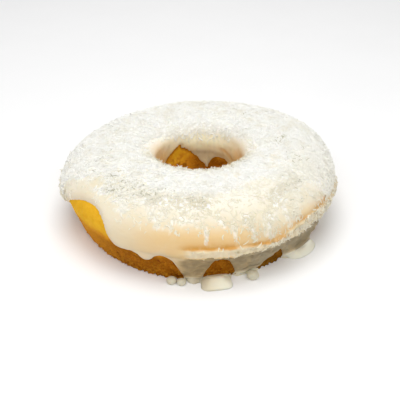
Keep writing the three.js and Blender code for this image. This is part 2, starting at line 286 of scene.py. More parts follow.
class Surface:
    """Places on the outline, one row of them at each angle."""

    def __init__(self, outline, along):
        self.outline = outline
        self.angle = outline.angle
        self.along = along
        self.up_hole = outline.total - along
        self.radius, self.height = outline.at(along)
        self.points = in_space(self.angle, self.radius, self.height)

    def moved_to(self, points):
        """The same places, lying at other points."""
        other = copy.copy(self)
        other.points = points
        return other


# ---- Where the icing lies ----
def inside_oval(x, y, half_width, half_height, squareness):
    total = (np.abs(x) / half_width) ** squareness + (np.abs(y) / half_height) ** squareness
    return (1 - total ** (1 / squareness)) * min(half_width, half_height)


def inside_outer_edge(angle, along, wander):
    """How far inside the icing's edge each place on the outer side is."""
    inside = along - EDGE_HEIGHT - sum_of_lumps(EDGE_LUMPS, angle) + wander
    for at, half_width, tip, flare in DRIPS:
        across = across_from(at, angle, WALL_RADIUS)
        up = along - tip - half_width
        width = half_width + flare * np.maximum(up, 0)
        inside = soft_max(inside, width - np.hypot(across, np.minimum(up, 0)), BLEND)
    for at, middle, *oval in OUTER_BARE:
        across = across_from(at, angle, WALL_RADIUS)
        inside = soft_min(inside, wander - inside_oval(across, along - middle, *oval), BARE_BLEND)
    for at, middle, *oval in PUDDLES:
        across = across_from(at, angle, WALL_RADIUS)
        inside = soft_max(inside, inside_oval(across, along - middle, *oval), EDGE_BLEND)
    return inside


def inside_hole_edge(angle, up, wander):
    """The same on the hole's side, from how far up the hole's wall each place is."""
    inside = up - HOLE_EDGE_HEIGHT + wander
    for at, middle, *oval in HOLE_BARE:
        across = across_from(at, angle, HOLE_RADIUS)
        inside = soft_min(inside, wander - inside_oval(across, up - middle, *oval), EDGE_BLEND)
    return inside


def coat_thickness(inside, along):
    """The coat's thickness at each place. Past its edge it lies under the sponge's skin."""
    on_floor = 1 - smoothstep(along, -3, 4)
    rise = np.clip(inside / mix(ROUNDING, FLOOR_ROUNDING, on_floor), 0, 1)
    fill = 1 + CORNER_FILL * hump(along, 0, CORNER_SPREAD)
    full = mix(FOOT_COAT, COAT, smoothstep(along, 0, FOOT_HEIGHT)) * fill + POOL_SWELL * on_floor
    bulge = (1 - (1 - rise) ** 2) ** mix(0.5, 0.7, on_floor)
    sink = mix(FOOT_SINK, SINK, smoothstep(along, 2, 9))
    return np.where(inside > 0, full * bulge, np.maximum(inside, -sink))


# ---- The golden lines round the lip, where the icing is thin ----
# Each line is (from angle, to angle, along at the first, along at the second, width upwards, share).
LIP_LINES = [(-100, -70, 31.4, 32.8, 3.4, 0.85), (-76, -50, 32.8, 32.6, 1.6, 0.85),
             (-53, -39, 37.6, 37.2, 1.8, 0.6), (-42, -22, 38.2, 35.0, 2.4, 0.7)]
LINE_FADE = 8.0
LINE_SHARPNESS = 0.7


def lip_lines(surface):
    """How strongly each place lies on one of the lines, from 0 to 1."""
    wobble = 0.8 * rough(surface.points, 8, 21) + 0.5 * rough(surface.points, 3, 22)
    angle = turn_from(0, surface.angle)
    strength = 0 * surface.along
    for start, end, low, high, width, share in LIP_LINES:
        part = np.clip((angle - start) / (end - start), 0, 1)
        above = surface.along - mix(low, high, part) - wobble
        size = np.where(above > 0, above / width, above / LINE_SHARPNESS)
        ends = smoothstep(angle, start, start + LINE_FADE) * smoothstep(-angle, -end, LINE_FADE - end)
        strength = np.maximum(strength, share * ends * hump(size, 0, 1))
    return strength


# ---- The lip's band ----
# Where the lip hangs over the wall as a ragged band of icing and coconut: its ends, how fast it
# fades there, and the height of its lower edge at each end.
BAND_FROM, BAND_TO, BAND_FADE = -93, -6, 4.5
BAND_HEIGHTS = 23.4, 25.6
# Where the wall under it is in its shade.
SHADE_FROM, SHADE_TO, SHADE_FADE = -95.5, 8, 26


def lip_band(surface):
    """1 on the band, and 1 on the wall that it hangs over."""
    points, height, lip = surface.points, surface.height, surface.outline.lip
    turn = turn_from(0, surface.angle)
    share = np.clip((turn - BAND_FROM) / (BAND_TO - BAND_FROM), 0, 1)
    low = mix(*BAND_HEIGHTS, share) + 1.5 * rough(points, 7, 33, 2) + 0.9 * rough(points, 2.5, 34)
    ends = smoothstep(turn, BAND_FROM - BAND_FADE, BAND_FROM)
    ends = ends * smoothstep(-turn, -BAND_TO - BAND_FADE, -BAND_TO)
    lower = smoothstep(height, low - 0.5, low + 0.5)
    upper = 1 - smoothstep(surface.along, lip - 0.5, lip + 1.5)
    shaded = smoothstep(turn, SHADE_FROM - 6, SHADE_FROM)
    ragged = 8 * rough(points, 9, 35, 2)
    shaded = shaded * smoothstep(-turn + ragged, -SHADE_TO - SHADE_FADE, SHADE_FADE - SHADE_TO)
    shade_under_lip = 1 - smoothstep(height, low - mix(7, 0.5, ends), low + 0.5)
    return lower * upper * ends, shade_under_lip * shaded


# ---- How thickly the coconut lies ----
# Each patch is (angle, distance from the axis, half width, half length, share that is left).
THIN_PATCHES = [
    (-138, 98, 44, 12.0, 0.03), (-113, 99, 42, 11, 0.02), (-90, 99, 36, 10.5, 0.04),
    (-66, 99, 30, 9.5, 0.2), (-72, 76, 19, 13, 0.12), (-52, 68, 13, 8, 0.3), (-36, 98, 20, 7, 0.4),
    (-149, 86, 13, 8, 0.4), (-90, 86, 60, 8, 0.4), (-42, 90, 24, 9, 0.4), (95, 46, 40, 9, 0.75),
]
# Each clump is (angle, distance from the axis, half width, half length).
CLUMPS = [
    (-87.5, 94, 1.3, 6), (-76.5, 91, 2.2, 5), (-69, 94, 1.6, 4), (-62, 94, 4, 4),
    (-101, 89.5, 1.6, 4), (-108, 88, 2.2, 3), (-93, 76, 6, 7), (-124, 87, 6, 4),
    (-82, 86, 2.5, 4), (-70, 88, 5, 4), (-97, 86, 2.5, 4), (-53, 91, 3, 6),
]
# How far over the hole's rim the coconut thins out.
RIM_FALL = 12.0
# Where the coconut lies loose, with gaps and dark bits; the dark bits and the gaps' tone are painted
# shade.
# Each is (angle, distance from the axis, half width, half length, share).
LOOSE_PATCHES = [
    (-134, 73, 29, 13, 1.0), (-172, 68, 12, 9, 0.7), (-114, 66, 9, 9, 0.7), (-92, 75, 8, 9, 0.3),
    (-40, 82, 14, 13, 0.35), (-12, 74, 14, 12, 0.5), (8, 62, 9, 7, 0.6), (60, 66, 12, 8, 0.3),
    (150, 74, 14, 9, 0.3),
]


def patch_size(at, middle, half_width, half_length, angle, distance):
    """0 in the middle of a patch on the top, and 1 on its edge."""
    return np.hypot(across_from(at, angle, middle) / half_width, (distance - middle) / half_length)


def looseness(points, angle):
    """1 in the middle of a loose patch, 0 away from all of them."""
    distance = from_axis(points)
    found = 0 * distance
    ragged = 0.5 * rough(points, 7, 51, 2)
    for *patch, share in LOOSE_PATCHES:
        size = patch_size(*patch, angle, distance)
        found = np.maximum(found, share * (1 - smoothstep(size + ragged, 0.5, 1.2)))
    return found


def coconut_cover(surface, lines):
    """From 0, bare icing, to 1, covered, at each place on the icing's skin."""
    points, angle, along, lip = surface.points, surface.angle, surface.along, surface.outline.lip
    behind = smoothstep(np.sin(np.radians(angle)), -0.3, 0.3)
    ragged = 5 * rough(points, 9, 56, 3) * behind
    cover = smoothstep(along + ragged, lip, lip + mix(6, 9, behind))
    rim = HOLE_RIM_HEIGHT + mix(-4, 8, sideness(angle))
    cover = cover * smoothstep(surface.up_hole + 3.5 * rough(points, 4, 4, 2), rim, rim + RIM_FALL)

    # Thin patches, with streaks that run towards the lip.
    distance = from_axis(points)
    around = across_from(0, angle, WALL_RADIUS) + 0 * distance
    streaks = np.stack([around / 2.6, distance / 8, 0 * distance], -1)
    wander = 4 * rough(points, 11, 5, 2) + 3 * rough(points, 3.5, 8, 2) + 2 * rough(streaks, 1, 10, 2)
    angle = turn_from(0, angle)
    for *patch, left in THIN_PATCHES:
        size = patch_size(*patch, angle, distance + wander)
        cover = cover * mix(left, 1, smoothstep(size, 0.65, 1.25))
    uneven = mix(0.7, 0.35, behind) * rough(points, 9, 6, 3) + 0.3 * rough(points, 3.5, 57, 2)
    cover = cover * (mix(0.95, 1.1, behind) + uneven)
    gaps = 0.45 * looseness(points, angle) * (0.6 + 1.2 * rough(points, 2.2, 52, 2))
    cover = cover * (1 - gaps)

    # Clumps, and single shreds that were thrown over the front.
    for patch in CLUMPS:
        size = patch_size(*patch, angle, distance)
        clump = 1 - smoothstep(size + 0.7 * rough(points, 2.5, 9, 2), 0.5, 1.3)
        cover = np.maximum(cover, 0.55 * clump * smoothstep(along, lip + 1, lip + 3))
    thrown = smoothstep(along, lip + 5, lip + 13) * near(-88, angle, 50)
    cover = np.maximum(cover, 0.36 * thrown * (0.3 + 1.8 * rough(points, 4, 54, 3)))
    band = lip_band(surface)[0] * near(-38, angle, 36)
    cover = np.maximum(cover, 0.55 * band * (0.6 + rough(points, 6, 7, 2)))
    left_edge = near(-170, angle, 15) * hump(along, lip, 7)
    cover = np.maximum(cover, left_edge * (0.8 + 0.8 * rough(points, 4, 7, 2)))
    return np.clip(cover * (1 - 0.85 * lines), 0, 1)


# ---- Meshes ----
def make_object(name, points, faces, smooth=True):
    """A mesh object from an array of points in millimetres and an array of faces."""
    mesh = bpy.data.meshes.new(name)
    mesh.from_pydata((points.reshape(-1, 3) * MM).tolist(), [], faces.tolist())
    mesh.polygons.foreach_set("use_smooth", np.full(len(mesh.polygons), smooth))
    mesh.update()
    piece = bpy.data.objects.new(name, mesh)
    bpy.context.scene.collection.objects.link(piece)
    return piece


def add_attribute(piece, name, values):
    attribute = piece.data.attributes.new(name, "FLOAT", "POINT")
    attribute.data.foreach_set("value", values.astype(np.float32).ravel())


def ring_faces(columns, rows):
    """The quads of a closed ring of closed sections."""
    column, row = np.meshgrid(np.arange(columns), np.arange(rows), indexing="ij")
    after, above = (column + 1) % columns, (row + 1) % rows
    corners = [column * rows + row, after * rows + row, after * rows + above, column * rows + above]
    return np.stack(corners, axis=-1).reshape(-1, 4)


CROWDING = 0.2


def ring_angles(columns):
    """Angles all round the ring, closer together at the front."""
    turn = TAU * np.arange(columns) / columns
    return -90 + np.degrees(turn - CROWDING * np.sin(turn))


def even(count):
    """Shares from 0 up to 1, without 1 itself."""
    return np.arange(count) / count


def spread_out(start, end, share):
    """Places from start to end at each angle, at these shares of the way."""
    return mix(start, end, share[None, :])


# ---- The sponge ----
SPONGE_COLUMNS = 640
WALL_ROWS, HIDDEN_ROWS, HOLE_ROWS, BASE_ROWS = 58, 6, 44, 4
# Along the wall the sponge shows up to here, and up the hole's wall to the second.
SPONGE_TOP = 47.0
HOLE_SHOWN = 36.0
PIT_DEPTH, DENT_DEPTH, TORN_DEPTH = 0.5, 0.45, 1.9
# How far up from the floor the foot is crumbly, and how far under the icing the sponge stays.
FOOT_REACH = 3.5
UNDER_ICING = -0.8
CRUST_HEIGHT, CRUST_BLEND = 22.6, 5.5


def make_sponge():
    """The sponge's mesh, with its crumb and its browned crust."""
    outline = Outline(ring_angles(SPONGE_COLUMNS))
    angle = outline.angle
    zero = 0 * angle
    hole = outline.total - HOLE_RIM_HEIGHT - 2
    surface = Surface(outline, np.hstack([
        spread_out(zero, zero + SPONGE_TOP, even(WALL_ROWS)),
        spread_out(zero + SPONGE_TOP, hole, even(HIDDEN_ROWS)),
        spread_out(hole, outline.total, np.linspace(0, 1, HOLE_ROWS)),
    ]))
    along, up_hole, points = surface.along, surface.up_hole, surface.points
    out, up = coat_direction(surface.radius, surface.height, np.maximum(along, FILLET))

    # The crumb: pits and dents, a torn foot, and no growth under the icing.
    foot = np.exp(-np.minimum(along, up_hole) / FOOT_REACH)
    low = 1 - smoothstep(surface.height, 9, 17)
    low = np.maximum(low, 1 - smoothstep(up_hole, HOLE_SHOWN - 6, HOLE_SHOWN))
    pits = np.maximum(rough(points, 1.7, 1, 3) - 0.05, 0) * mix(0.35, 1.0, low)
    dents = rough(points, 6, 2, 2)
    torn = rough(points, 2.0, 3, 3) * foot
    hidden = smoothstep(along, SPONGE_TOP - 4, SPONGE_TOP)
    shown = 1 - hidden * smoothstep(up_hole, HOLE_SHOWN - 2, HOLE_SHOWN + 2)
    growth = (-PIT_DEPTH * pits + DENT_DEPTH * dents + TORN_DEPTH * torn - 0.1) * shown
    wander = rough(points, 4, 41, 3)
    covered = inside_outer_edge(angle, along, EDGE_WANDER * wander)
    coated = smoothstep(covered, -0.6, 0.7) * (along < SPONGE_TOP)
    growth = mix(growth, np.minimum(growth, UNDER_ICING), coated)
    height = np.maximum(surface.height + growth * up, 0)
    points = in_space(angle, surface.radius + growth * out, height)

    # The flat underside.
    base_share = np.arange(1, BASE_ROWS + 1) / (BASE_ROWS + 1)
    base = mix(points[:, -1:, :], points[:, :1, :], base_share[None, :, None])
    base[..., 2] = 0
    points = np.concatenate([points, base], axis=1)
    piece = make_object("sponge", points, ring_faces(SPONGE_COLUMNS, points.shape[1]))

    # The browned crust, patchy in the hole, and painted shade there: the right patch in the hole fully
    # browned, and a dark rim along the icing.
    edge = CRUST_HEIGHT + 2.5 * rough(points, 12, 31, 3)
    crust = 1 - smoothstep(points[..., 2], edge - CRUST_BLEND, edge + CRUST_BLEND)
    crust = crust * (1 - 0.5 * near(-152, angle, 25))
    mottled = np.clip(0.45 + 0.9 * rough(points, 5, 32, 3), 0, 1)
    # Painted shade: in the hole the sponge is fully browned at angles below 85, at the right patch.
    mottled = np.maximum(mottled, 1 - smoothstep(turn_from(0, angle) + 0 * mottled, 85, 122))
    in_hole = smoothstep(from_axis(points), 50, 40)
    tint = mix(crust, mottled * crust, in_hole)
    inside = inside_hole_edge(angle, up_hole, HOLE_WANDER * wander)
    # Painted shade: a dark rim on the sponge along the icing's edge in the hole.
    rim = (1 - smoothstep(-inside, 0.5, 4.5)) * (up_hole < HOLE_SHOWN)
    # Painted shade on the crust under the lip at the right front.
    shade_under_lip = stretch_near(-55, angle, 20) * (1 - smoothstep(along, 20, 26))
    none = np.zeros(base.shape[:2])
    add_attribute(piece, "pits", np.hstack([pits * mix(0.2, 1, up_hole > HOLE_SHOWN), none]))
    add_attribute(piece, "foot", np.hstack([foot ** 0.5, none]))
    add_attribute(piece, "shade_under_lip", np.hstack([shade_under_lip, none]))
    add_attribute(piece, "crust", np.maximum(tint, 0.8 * np.hstack([rim, none])))
    return piece


# ---- The icing ----
ICING_COLUMNS = 600
FLOOR_ROWS, TOP_ROWS, ICING_HOLE_ROWS, LINING_STEP = 15, 46, 26, 9
DEEPEST_DENT = -1.2
# The crease where the coat bends in under the lip at the left front: its height, and how much it
# falls for each degree past an angle.
CREASE_HEIGHT, CREASE_FALL, CREASE_FROM = 23.8, 0.1, -112


def above_crease(surface):
    """How far above the crease each place is."""
    fall = CREASE_FALL * np.maximum(turn_from(CREASE_FROM, surface.angle), 0)
    return surface.height - CREASE_HEIGHT + fall


def icing_relief(surface, cover, lines, band, under):
    """Bumps and dents in the icing's skin, in millimetres."""
    points, angle, along, height = surface.points, surface.angle, surface.along, surface.height
    up_hole, lip = surface.up_hole, surface.outline.lip
    relief = 0.4 * rough(points, 22, 11, 2) + 0.1 * rough(points, 7, 12)

    # Ridges that run down the wall.
    on_wall = (1 - smoothstep(height, 20, 26)) * smoothstep(along, 2, 7)
    ridges = 2.1 * rough(points / (8, 8, 3.2), 1, 13, 2) + 0.4 * rough(points, 2.2, 17, 2)
    relief = relief + ridges * np.maximum(under, 0.35) * on_wall

    # The ragged band, the wall that it hangs over, and the tuck to the left of it.
    ragged = band * (1.6 + 1.4 * rough(points, 2.6, 14, 3) + 0.5 * rough(points, 6, 18))
    ragged = ragged - 1.1 * under * smoothstep(height, 13, 18)
    tucked = near(TUCK_AT, angle, 11) * (1 - smoothstep(above_crease(surface), -2.2, 1.0)) * (1 - under)
    ragged = ragged - 1.3 * tucked * smoothstep(height, 6, 14)

    # Lumps on the lip at the left, and on the near side of the hole's rim.
    corner = near(-168, angle, 14) * hump(along, lip, 6)
    ragged = ragged + corner * (0.4 + 2.6 * rough(points, 3, 25, 2))
    near_side = 1 - smoothstep(np.sin(np.radians(angle)), -0.4, 0.2)
    lumps = 0.3 + 1.6 * rough(points, 3.5, 23, 3) + 1.6 * rough(points, 8, 28, 2)
    ragged = ragged + hump(up_hole, HOLE_RIM_HEIGHT + 10, 5) * near_side * lumps

    # Folds in the hole.
    low_in_hole = 1 - smoothstep(up_hole, HOLE_RIM_HEIGHT - 6, HOLE_RIM_HEIGHT + 6)
    folds = 0.8 * rough(points / (5, 5, 9), 1, 24, 2) * low_in_hole
    swell = 3.2 * hump(up_hole, 33, 6) - 1.6 * hump(up_hole, 21, 5)
    folds = folds + swell * near(HOLE_BACK_AT, angle, 50)
    folds = folds + 1.3 * rough(points, 3, 26, 2) * hump(up_hole, 23, 6) * near(76, angle, 22)

    # A grain where coconut lies.
    grain = 0.3 * rough(points, 1.6, 16, 2)
    grain = grain + (0.5 + 0.7 * looseness(points, angle)) * rough(points, 4, 19, 3)
    return relief + ragged + folds - 0.35 * lines + cover * grain


def icing_edge(surface):
    """How far inside the icing's edge each place is, on both sides of the ring."""
    wander = rough(surface.points, 4, 41, 3)
    hole_wander = mix(0.3, HOLE_WANDER, smoothstep(surface.angle, 75, 95))
    return np.minimum(
        inside_outer_edge(surface.angle, surface.along, EDGE_WANDER * wander),
        inside_hole_edge(surface.angle, surface.up_hole, hole_wander * wander),
    )


def icing_tones(skin, inside, cover, under, slope, lines):
    """How strongly each tone of the icing's material shows at each place."""
    angle, along, up_hole, lip = skin.angle, skin.along, skin.up_hole, skin.outline.lip
    off_floor = smoothstep(along, 0, 6)
    rightness = smoothstep(turn_from(0, angle), -82, -62)
    sides = np.clip(sideness(angle), 0, 1)
    in_hole = 1 - smoothstep(up_hole, HOLE_RIM_HEIGHT - 6, HOLE_RIM_HEIGHT + mix(10, 15, sides))
    band = lip_band(skin)[0]

    # Gold where the coat is thin over the sponge, at the front and in the hole.
    front = stretch_near(-94, angle, 32) * (1 - smoothstep(along, lip + 5, lip + 22))
    front = front * (1 - 0.4 * near(-120, angle, 15))
    right = stretch_near(-48, angle, 34) * (1 - smoothstep(along, lip, lip + 12))
    gold = 0.5 * np.maximum(front, right) * off_floor * (1 - 0.7 * band)
    gold = np.maximum(gold, in_hole * mix(0.2, 1.15, sides))

    # Painted shade, partly where the coat is thin over the sponge: under the band, deep in the hole, in
    # the band's crevices, on the left of the right puddle, in the tuck and at the front drip's foot.
    deep = 1 - smoothstep(up_hole, HOLE_RIM_HEIGHT - 12, HOLE_RIM_HEIGHT - 5)
    crevices = rightness * band * np.clip(0.1 - 1.3 * rough(skin.points, 2.6, 14, 3), 0, 0.5)
    shady = slope * smoothstep(-turn_from(RIGHT_PUDDLE_AT, angle) - 0.4 * along, -1, 5)
    shady = shady * smoothstep(along, -12, -4)
    crease = above_crease(skin)
    tucked = near(TUCK_AT, angle, 12) * (1 - under)
    shadow = hump(crease, -0.9, np.where(crease > -0.9, 3.4, 0.9))
    shadow = shadow * mix(0.25, 0.6, smoothstep(turn_from(TUCK_AT, angle), -4, 8))
    thin = np.max([
        mix(1, 0.9, rightness) * under * off_floor, deep * (0.5 - 0.45 * sides), crevices, shady,
        tucked * shadow, 0.7 * near(-91, angle, 4.5) * (1 - off_floor),
    ], axis=0)

    # Pale along the edge on the wall and below the tuck, milky on the floor.
    edge = (1 - smoothstep(inside, 1, 6)) * smoothstep(along, 4, 10) * (1 - under) * (1 - in_hole)
    pale = 0.9 * tucked * (1 - smoothstep(crease, -2, 0.4))
    edge = np.maximum(edge, pale * smoothstep(along, 4, 10))
    # Painted shade takes the milk off at the front drip's foot and on the left of both puddles.
    milky = (1 - smoothstep(along, -1, 5)) * (1 - 0.75 * near(FRONT_DRIP_AT, angle, 6))
    milky = milky * (1 - 0.8 * shady) * (1 - 0.6 * near(-86, angle, 4.5))

    # White with fine coconut, where shreds lie and on the plain back, and painted light on the hole's
    # back rim.
    painted_light_back_rim = near(90, angle, 60) * smoothstep(up_hole, HOLE_RIM_HEIGHT - 8, HOLE_RIM_HEIGHT + 2)
    dust = np.maximum(smoothstep(cover, 0.15, 0.75), painted_light_back_rim * in_hole)
    inner = 0.6 * (1 - smoothstep(from_axis(skin.points), 74, 94))
    plain = np.maximum(inner, 0.95 * (1 - stretch_near(-85, angle, 62)))
    plain = plain * smoothstep(along, lip - 1, lip + 7) * (1 - 0.8 * near(-148, angle, 14))
    dust = np.maximum(dust, plain * (1 - in_hole))
    # Painted light, in a yellower cream, on the lit top of the swell at the hole's back.
    painted_light_cream = smoothstep(up_hole, 25, 30) * (1 - smoothstep(up_hole, 38, 46))
    # grey turns the painted shade greyer under the band on the right and on the right puddle.
    return {
        "grey": np.maximum(rightness * under, shady), "edge": edge, "milky": milky,
        "gold": np.clip(gold, 0, 1), "lines": lines, "thin": np.clip(thin, 0, 1), "dust": dust,
        "gap_shade": looseness(skin.points, angle) * cover,
        "painted_light_cream": painted_light_cream * near(HOLE_BACK_AT, angle, 55),
    }


def make_icing():
    """The icing's mesh, its skin, and how thickly coconut lies on it."""
    outline = Outline(ring_angles(ICING_COLUMNS))
    zero = 0 * outline.angle
    wall_end = outline.lip + 4
    hole = outline.total - HOLE_RIM_HEIGHT
    surface = Surface(outline, np.hstack([
        spread_out(zero - SKIRT, zero, even(FLOOR_ROWS)),
        spread_out(zero, wall_end, even(WALL_ROWS)),
        spread_out(wall_end, hole, 1 - (1 - even(TOP_ROWS)) ** 1.3),
        spread_out(hole, outline.total, np.linspace(0, 1, ICING_HOLE_ROWS)),
    ]))
    angle, along, radius, height = surface.angle, surface.along, surface.radius, surface.height
    out, up = coat_direction(radius, height, along)
    inside = icing_edge(surface)
    thickness = coat_thickness(inside, along)
    lines = lip_lines(surface)
    cover = coconut_cover(surface, lines)
    band, under = lip_band(surface)
    fold_line = hump(inside, 6.5, 1.4) * stretch_near(46, angle, 17) * (surface.up_hole < 32)
    relief = icing_relief(surface, cover, lines, band, under) - 0.8 * fold_line
    relief = np.maximum(relief, DEEPEST_DENT)
    # The fold line round the crumb patch takes the lines' golden brown as painted shade in its crease.
    lines = np.maximum(lines, 0.6 * fold_line)
    heap = 0 * thickness
    for at, middle, *oval in PUDDLES:
        across = across_from(at, angle, WALL_RADIUS)
        heap = np.maximum(heap, smoothstep(inside_oval(across, along - middle, *oval), 1, 6))
    slope = heap * stretch_near(RIGHT_PUDDLE_AT, angle, 14)
    rise = thickness + relief * np.clip(thickness / COAT, 0, 1)
    rise = rise + 1.5 * heap * (1 - smoothstep(along, -2, 3)) + 2.4 * slope * hump(along, 0.5, 4.5)
    skin = surface.moved_to(in_space(angle, radius + rise * out, height + rise * up))

    # The hidden side, with fewer rows.
    every = np.arange(along.shape[1] - 1, -1, -LINING_STEP)
    below = np.minimum(rise, 0)[:, every] - SHELL
    lining = in_space(
        angle, radius[:, every] + below * out[:, every], height[:, every] + below * up[:, every]
    )
    section = np.concatenate([skin.points, lining], axis=1)
    piece = make_object("icing_coat", section, ring_faces(ICING_COLUMNS, section.shape[1]))
    none = np.zeros(lining.shape[:2])
    for name, tone in icing_tones(skin, inside, cover, under, slope, lines).items():
        add_attribute(piece, name, np.hstack([tone, none]))
    cut_at_floor(piece)
    return piece, skin, cover * (inside > 1.2)


def cut_at_floor(piece):
    """Cuts off what lies under the floor, and closes the cut."""
    work = bmesh.new()
    work.from_mesh(piece.data)
    everything = work.verts[:] + work.edges[:] + work.faces[:]
    bmesh.ops.bisect_plane(
        work, geom=everything, dist=1e-7, plane_co=(0, 0, 0), plane_no=(0, 0, 1), clear_inner=True
    )
    rim = [edge for edge in work.edges if edge.is_boundary]
    filled = bmesh.ops.triangle_fill(work, edges=rim, use_beauty=False, normal=(0, 0, -1))
    for face in filled["geom"]:
        if isinstance(face, bmesh.types.BMFace):
            face.smooth = False
    work.to_mesh(piece.data)
    work.free()


# ---- The loose drops ----
DROP_TURNS, DROP_ROWS = 40, 20
# How far below its widest place a drop is cut off by the floor, as an angle in radians.
DROP_CUT = 0.75
# The drops are painted with the tan and grey shade, the gap shade and half milk: painted shade.
DROP_TONES = {
    "gold": 0, "lines": 0, "thin": 1, "dust": 0, "gap_shade": 0.2, "milky": 0.5, "edge": 0, "painted_light_cream": 0,
    "grey": 1,
}


def make_drop(name, at, distance, radius, height, seed):
    """A bead of icing that has slumped on to a small flat foot."""
    around = np.linspace(0, TAU, DROP_TURNS, endpoint=False)[:, None]
    t = np.linspace(-DROP_CUT, math.pi / 2, DROP_ROWS)[None, :]
    sunk = math.sin(DROP_CUT)
    reach = radius * np.cos(t) ** 0.9
    up = height * (np.sin(t) + sunk) / (1 + sunk) + 0 * around
    points = np.stack([reach * np.cos(around), reach * np.sin(around), up], axis=-1)
    points[..., :2] *= (1 + 0.07 * rough(points, 3 * radius, seed))[..., None]
    points[..., 0] += AXIS_X + distance * math.cos(math.radians(at))
    points[..., 1] += AXIS_Y + distance * math.sin(math.radians(at))
    foot = np.repeat(points[:, :1].mean(0, keepdims=True), DROP_TURNS, axis=0)
    points = np.concatenate([points, foot], axis=1)
    piece = make_object(name, points, ring_faces(DROP_TURNS, DROP_ROWS + 1))
    work = bmesh.new()
    work.from_mesh(piece.data)
    bmesh.ops.remove_doubles(work, verts=work.verts[:], dist=1e-6)
    bmesh.ops.dissolve_degenerate(work, edges=work.edges[:], dist=1e-7)
    work.to_mesh(piece.data)
    work.free()
    for tone, value in DROP_TONES.items():
        add_attribute(piece, tone, np.full(len(piece.data.vertices), value))
    return piece


# ---- The coconut ----
def unit(vectors):
    return vectors / np.maximum(np.linalg.norm(vectors, axis=-1, keepdims=True), 1e-9)


def scatter(points, count, weight):
    """Random places on a skin, likelier where the weight is high: place, normal, column and row."""
    right = np.roll(points, -1, axis=0)[:, :-1]
    here, above = points[:, :-1], points[:, 1:]
    normal = np.cross(right - here, above - here)
    area = np.linalg.norm(normal, axis=-1)
    chance = (area * weight[:, :-1]).ravel()
    chosen = dice.choice(chance.size, size=count, p=chance / chance.sum())
    column, row = np.unravel_index(chosen, area.shape)
    u, v = dice.random((2, count, 1))
    after = (column + 1) % points.shape[0]
    low = mix(points[column, row], points[after, row], u)
    high = mix(points[column, row + 1], points[after, row + 1], u)
    return mix(low, high, v), unit(normal)[column, row], column, row


def make_shreds(name, places, normals, flow, lengths, widths, tilt, lift, tones, segments):
    """One joined mesh of thin, bent, three-sided shreds that lie on a surface."""
    count = len(places)
    sideways = unit(np.cross(normals, dice.normal(size=(count, 3))))
    direction = unit(sideways + flow * dice.normal(0, 1, (count, 1)) + normals * tilt[:, None])
    side = unit(np.cross(normals, direction))
    top = np.cross(direction, side)

    # Each shred's middle line, bent sideways and curled at its ends.
    step = np.linspace(-0.5, 0.5, segments + 1)
    bend = dice.normal(0, 0.55, (count, 1))
    curl = dice.normal(-0.2, 0.2, (count, 1))
    reach = lengths[:, None]
    bow = step ** 2 - 0.08
    spine = places[:, None] + normals[:, None] * lift[:, None, None]
    spine = spine + direction[:, None] * (reach * step)[..., None]
    spine = spine + side[:, None] * (reach * bend * bow)[..., None]
    spine = spine + top[:, None] * (reach * curl * bow)[..., None]

    # A three-cornered section round it, thinner at both ends.
    thin = 1 - 0.3 * np.abs(2 * step) ** 3
    corners = np.array([(-0.5, -0.15), (0.5, -0.15), (0.0, 0.2)])
    across = widths[:, None, None] * thin[None, :, None] * corners[None, None, :, 0]
    over = widths[:, None, None] * thin[None, :, None] * corners[None, None, :, 1]
    points = spine[:, :, None] + side[:, None, None] * across[..., None]
    points = points + top[:, None, None] * over[..., None]
    faces = []
    for i in range(segments):
        for j in range(3):
            a, b = 3 * i + j, 3 * i + (j + 1) % 3
            faces += [(a, b, b + 3), (a, b + 3, a + 3)]
    last = 3 * segments
    faces += [(0, 2, 1), (last, last + 1, last + 2)]
    corners_each = 3 * (segments + 1)
    first = np.arange(count)[:, None, None] * corners_each
    piece = make_object(name, points, (np.array(faces)[None] + first).reshape(-1, 3), smooth=False)
    add_attribute(piece, "shade", np.repeat(dice.random(count), corners_each))
    for tone, values in tones.items():
        add_attribute(piece, tone, np.repeat(values, corners_each))
    return piece


# How strongly shreds point down the slope, on the flat and where it is steep.
FLOW = 0.3, 1.6
COCONUT = {
    "coconut_strands": dict(
        count=7600, length=(2.4, 4.8), width=(0.45, 0.8), segments=4, power=1.0, dark=0.3
    ),
    "coconut_shreds": dict(
        count=14200, length=(1.4, 3.2), width=(0.4, 0.7), segments=2, power=1.1, dark=0.4
    ),
    "coconut_bits": dict(
        count=14200, length=(0.7, 1.7), width=(0.35, 0.65), segments=2, power=1.2, dark=0.7
    ),
}
# Where shreds stand out over an edge: (angle, spread, distance from the axis, spread of it).
FRINGES = [(-167, 20, 100, 5), (-50, 34, 99, 5), (5, 30, 97, 6)]
NEAR_RIM = 48.0


